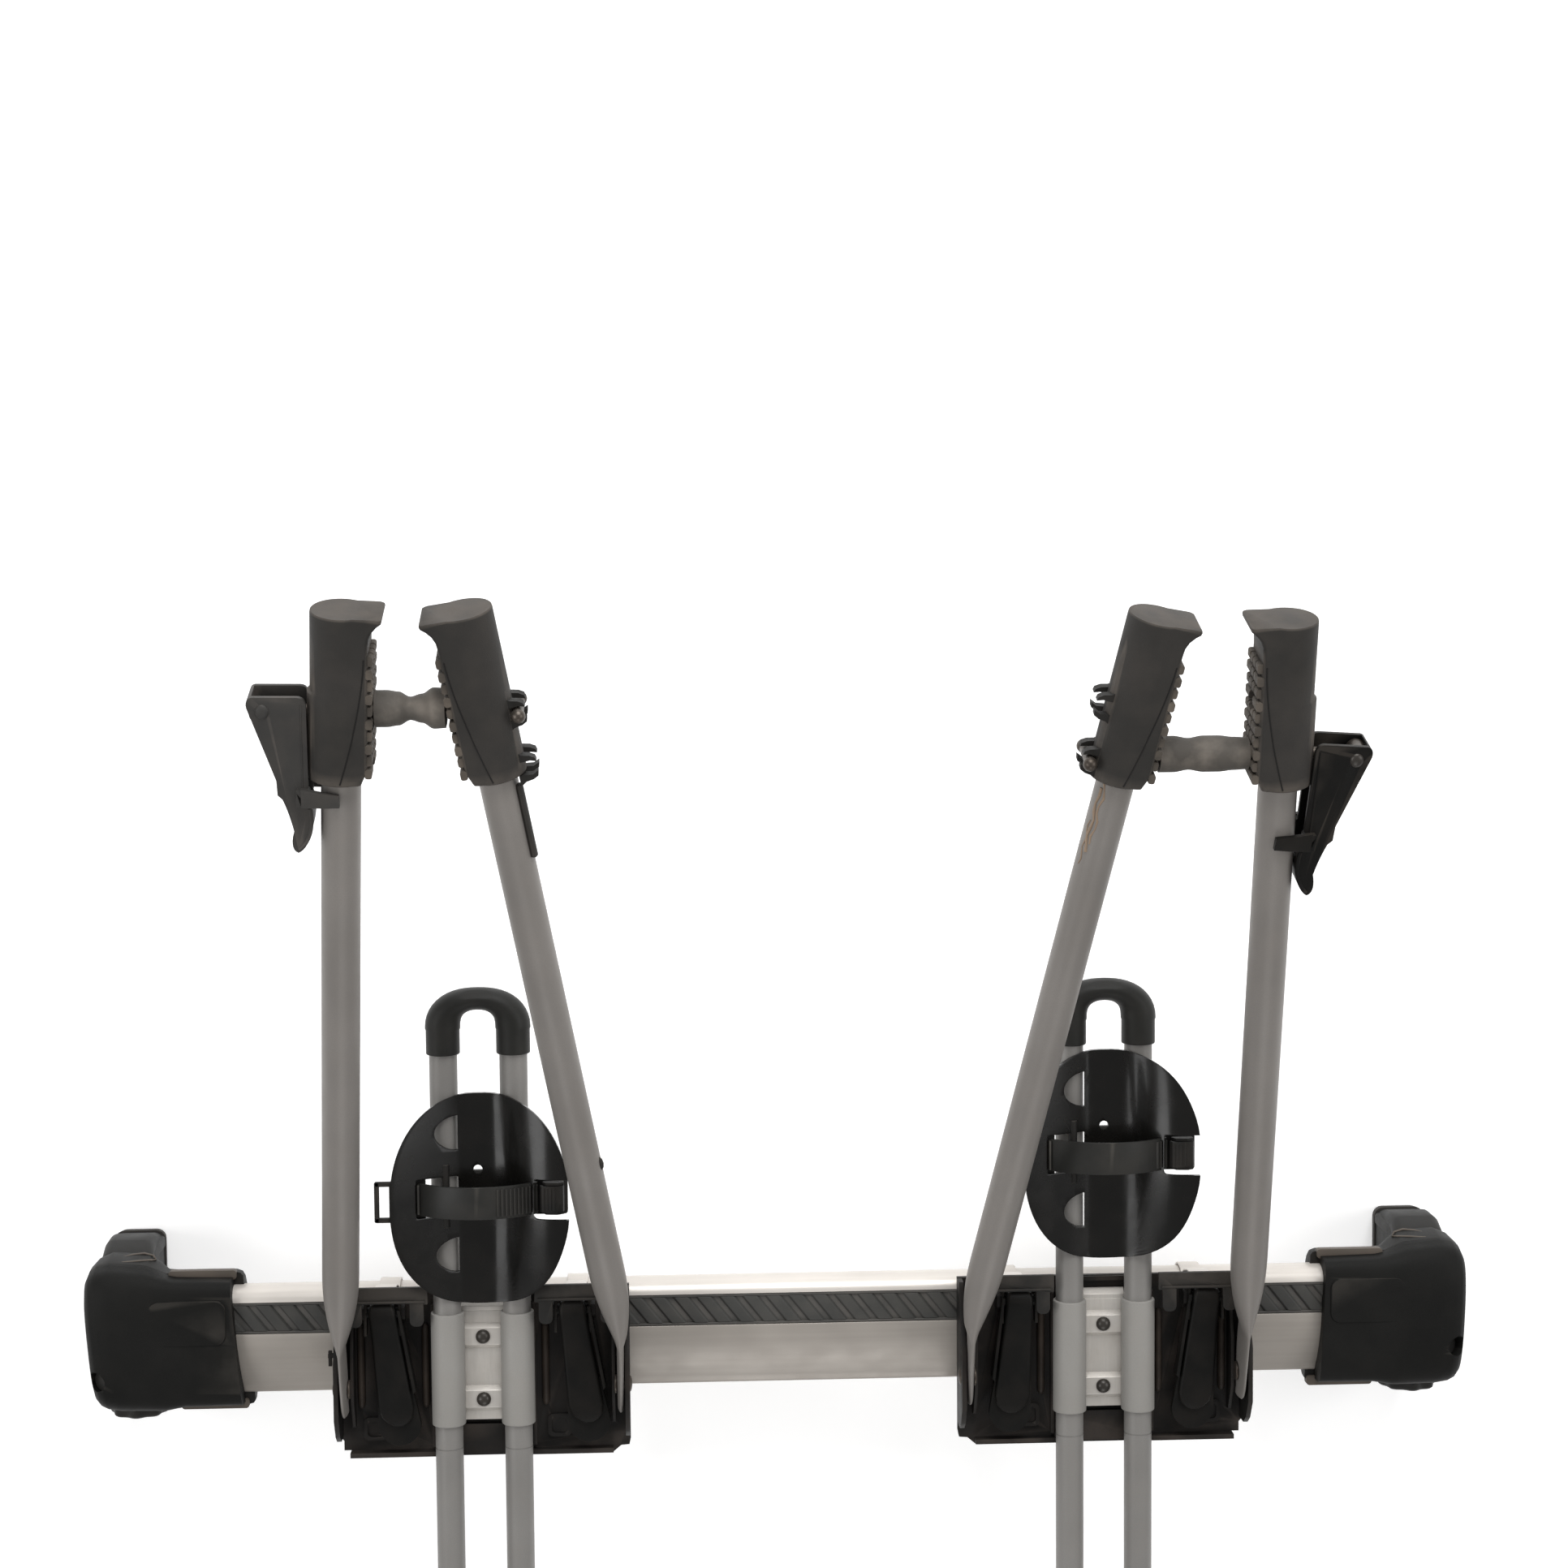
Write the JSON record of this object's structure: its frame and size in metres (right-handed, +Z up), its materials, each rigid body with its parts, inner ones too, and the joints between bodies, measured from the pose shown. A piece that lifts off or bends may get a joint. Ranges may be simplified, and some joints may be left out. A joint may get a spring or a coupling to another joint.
{
  "type": "roof bicycle rack",
  "caption": "Roof bicycle rack: two aerofoil crossbars on feet with upright carriers, folding frame-holder arms, toothed jaws, twin rails and wheel trays.",
  "frame": {"origin": "on the roof plane, under the middle of the whole rack's bounding box", "axes": "+X to the car's right, +Y to the car's front, +Z up"},
  "size_m": [1.0176, 1.7591, 0.3565],
  "materials": {
    "anodised": "satin silver anodised",
    "tube": "satin warm grey powder coat",
    "plastic": "textured charcoal moulding",
    "gloss": "polished black moulding",
    "rubber": "dusty black rubber",
    "steel": "dulled zinc plate"
  },
  "bodies": {
    "rack": {"crossbar_front": "anodised", "track_strip_front": "rubber", "end_cover_front_left": "plastic", "foot_front_left": "plastic", "end_cover_front_right": "plastic", "foot_front_right": "plastic", "crossbar_rear": "anodised", "track_strip_rear": "rubber", "end_cover_rear_left": "plastic", "foot_rear_left": "plastic", "end_cover_rear_right": "plastic", "foot_rear_right": "plastic", "base_housing_left": "plastic", "rail_bracket_left": "tube", "rail_a_left": "tube", "rail_b_left": "tube", "rail_front_cap_left": "plastic", "rear_saddle_left": "plastic", "base_housing_right": "plastic", "rail_bracket_right": "tube", "rail_a_right": "tube", "rail_b_right": "tube", "rail_front_cap_right": "plastic", "rear_saddle_right": "plastic"},
    "foot_knob_front_left": {"foot_knob_front_left": "plastic"},
    "foot_knob_front_right": {"foot_knob_front_right": "plastic"},
    "foot_knob_rear_left": {"foot_knob_rear_left": "plastic"},
    "foot_knob_rear_right": {"foot_knob_rear_right": "plastic"},
    "outer_arm_left": {"arm_outer_left": "tube", "jaw_outer_left": "rubber", "bolt_sleeve_left": "rubber"},
    "inner_arm_left": {"arm_inner_left": "tube", "jaw_inner_left": "rubber"},
    "bolt_left": {"clamp_bolt_left": "steel"},
    "lever_left": {"clamp_lever_left": "plastic"},
    "base_lever_outer_left": {"base_lever_outer_left": "plastic"},
    "base_hook_outer_left": {"base_hook_outer_left": "plastic"},
    "base_lever_inner_left": {"base_lever_inner_left": "plastic"},
    "base_hook_inner_left": {"base_hook_inner_left": "plastic"},
    "front_tray_left": {"wheel_tray_front_left": "gloss", "wheel_strap_front_left": "rubber"},
    "front_buckle_left": {"strap_buckle_front_left": "plastic"},
    "rear_tray_left": {"wheel_tray_rear_left": "gloss"},
    "rear_knob_left": {"rear_knob_left": "plastic"},
    "outer_arm_right": {"arm_outer_right": "tube", "jaw_outer_right": "rubber", "bolt_sleeve_right": "rubber"},
    "inner_arm_right": {"arm_inner_right": "tube", "jaw_inner_right": "rubber"},
    "bolt_right": {"clamp_bolt_right": "steel"},
    "lever_right": {"clamp_lever_right": "plastic"},
    "base_lever_outer_right": {"base_lever_outer_right": "plastic"},
    "base_hook_outer_right": {"base_hook_outer_right": "plastic"},
    "base_lever_inner_right": {"base_lever_inner_right": "plastic"},
    "base_hook_inner_right": {"base_hook_inner_right": "plastic"},
    "front_tray_right": {"wheel_tray_front_right": "gloss", "wheel_strap_front_right": "rubber"},
    "front_buckle_right": {"strap_buckle_front_right": "plastic"},
    "rear_tray_right": {"wheel_tray_rear_right": "gloss"},
    "rear_knob_right": {"rear_knob_right": "plastic"}
  },
  "joints": [
    {"name": "foot_knob_front_left_turn", "type": "hinge", "parent": "rack", "child": "foot_knob_front_left", "pos_m": [-0.475, 0.29673, 0.058], "axis": [0, 1, 0], "continuous": true},
    {"name": "foot_knob_front_right_turn", "type": "hinge", "parent": "rack", "child": "foot_knob_front_right", "pos_m": [0.475, 0.29673, 0.058], "axis": [0, 1, 0], "continuous": true},
    {"name": "foot_knob_rear_left_turn", "type": "hinge", "parent": "rack", "child": "foot_knob_rear_left", "pos_m": [-0.475, -0.46327, 0.058], "axis": [0, 1, 0], "continuous": true},
    {"name": "foot_knob_rear_right_turn", "type": "hinge", "parent": "rack", "child": "foot_knob_rear_right", "pos_m": [0.475, -0.46327, 0.058], "axis": [0, 1, 0], "continuous": true},
    {"name": "fold_left", "type": "hinge", "parent": "rack", "child": "outer_arm_left", "pos_m": [-0.217, 0.31573, 0.136], "axis": [1, 0, 0], "range_deg": [0, 60]},
    {"name": "bolt_slide_left", "type": "slide", "parent": "outer_arm_left", "child": "bolt_left", "axis": [1, 0, 0], "range_m": [0, 0.0056]},
    {"name": "clamp_lever_open_left", "type": "hinge", "parent": "bolt_left", "child": "lever_left", "pos_m": [-0.3405, 0.81189, 0.31659], "axis": [0, 0.342, -0.9397], "range_deg": [0, 105]},
    {"name": "inner_arm_spread_left", "type": "hinge", "parent": "outer_arm_left", "child": "inner_arm_left", "pos_m": [-0.118, 0.31573, 0.136], "axis": [0, 0.342, -0.9397], "range_deg": [0, 0.607]},
    {"name": "base_lever_outer_left_lift", "type": "hinge", "parent": "rack", "child": "base_lever_outer_left", "pos_m": [-0.285, 0.36973, 0.131], "axis": [-1, 0, 0], "range_deg": [0, 95]},
    {"name": "base_hook_outer_left_reach", "type": "slide", "parent": "rack", "child": "base_hook_outer_left", "axis": [0, 1, 0], "range_m": [0, 0.0051]},
    {"name": "base_lever_inner_left_lift", "type": "hinge", "parent": "rack", "child": "base_lever_inner_left", "pos_m": [-0.149, 0.36973, 0.131], "axis": [-1, 0, 0], "range_deg": [0, 95]},
    {"name": "base_hook_inner_left_reach", "type": "slide", "parent": "rack", "child": "base_hook_inner_left", "axis": [0, 1, 0], "range_m": [0, 0.0051]},
    {"name": "front_tray_slide_left", "type": "slide", "parent": "rack", "child": "front_tray_left", "axis": [0, 1, 0], "range_m": [-0.002, 0.022]},
    {"name": "front_buckle_open_left", "type": "hinge", "parent": "front_tray_left", "child": "front_buckle_left", "pos_m": [-0.16, 0.45273, 0.1503], "axis": [0, 1, 0], "range_deg": [0, 100]},
    {"name": "rear_tray_slide_left", "type": "slide", "parent": "rack", "child": "rear_tray_left", "axis": [0, 1, 0], "range_m": [-0.19, 0.1]},
    {"name": "rear_knob_turn_left", "type": "hinge", "parent": "rack", "child": "rear_knob_left", "pos_m": [-0.217, -0.39827, 0.1418], "axis": [0, 0, 1], "continuous": true},
    {"name": "fold_right", "type": "hinge", "parent": "rack", "child": "outer_arm_right", "pos_m": [0.233, 0.31573, 0.136], "axis": [1, 0, 0], "range_deg": [0, 60]},
    {"name": "bolt_slide_right", "type": "slide", "parent": "outer_arm_right", "child": "bolt_right", "axis": [-1, 0, 0], "range_m": [0, 0.0056]},
    {"name": "clamp_lever_open_right", "type": "hinge", "parent": "bolt_right", "child": "lever_right", "pos_m": [0.37262, 0.77618, 0.30359], "axis": [0, -0.342, 0.9397], "range_deg": [0, 105]},
    {"name": "inner_arm_spread_right", "type": "hinge", "parent": "outer_arm_right", "child": "inner_arm_right", "pos_m": [0.134, 0.31573, 0.136], "axis": [0, -0.342, 0.9397], "range_deg": [0, 0.653]},
    {"name": "base_lever_outer_right_lift", "type": "hinge", "parent": "rack", "child": "base_lever_outer_right", "pos_m": [0.301, 0.36973, 0.131], "axis": [-1, 0, 0], "range_deg": [0, 95]},
    {"name": "base_hook_outer_right_reach", "type": "slide", "parent": "rack", "child": "base_hook_outer_right", "axis": [0, 1, 0], "range_m": [0, 0.0051]},
    {"name": "base_lever_inner_right_lift", "type": "hinge", "parent": "rack", "child": "base_lever_inner_right", "pos_m": [0.165, 0.36973, 0.131], "axis": [-1, 0, 0], "range_deg": [0, 95]},
    {"name": "base_hook_inner_right_reach", "type": "slide", "parent": "rack", "child": "base_hook_inner_right", "axis": [0, 1, 0], "range_m": [0, 0.0051]},
    {"name": "front_tray_slide_right", "type": "slide", "parent": "rack", "child": "front_tray_right", "axis": [0, 1, 0], "range_m": [-0.029, 0]},
    {"name": "front_buckle_open_right", "type": "hinge", "parent": "front_tray_right", "child": "front_buckle_right", "pos_m": [0.29, 0.47673, 0.1503], "axis": [0, 1, 0], "range_deg": [0, 100]},
    {"name": "rear_tray_slide_right", "type": "slide", "parent": "rack", "child": "rear_tray_right", "axis": [0, 1, 0], "range_m": [-0.19, 0.1]},
    {"name": "rear_knob_turn_right", "type": "hinge", "parent": "rack", "child": "rear_knob_right", "pos_m": [0.233, -0.39827, 0.1418], "axis": [0, 0, 1], "continuous": true}
  ],
  "couplings": [
    {"joint": "bolt_slide_left", "follows": "clamp_lever_open_left", "m_per_rad": 0.003001},
    {"joint": "inner_arm_spread_left", "follows": "clamp_lever_open_left", "ratio": 0.005684},
    {"joint": "base_hook_outer_left_reach", "follows": "base_lever_outer_left_lift", "m_per_rad": 0.003016},
    {"joint": "base_hook_inner_left_reach", "follows": "base_lever_inner_left_lift", "m_per_rad": 0.003016},
    {"joint": "bolt_slide_right", "follows": "clamp_lever_open_right", "m_per_rad": 0.003001},
    {"joint": "inner_arm_spread_right", "follows": "clamp_lever_open_right", "ratio": 0.006125},
    {"joint": "base_hook_outer_right_reach", "follows": "base_lever_outer_right_lift", "m_per_rad": 0.003016},
    {"joint": "base_hook_inner_right_reach", "follows": "base_lever_inner_right_lift", "m_per_rad": 0.003016}
  ]
}
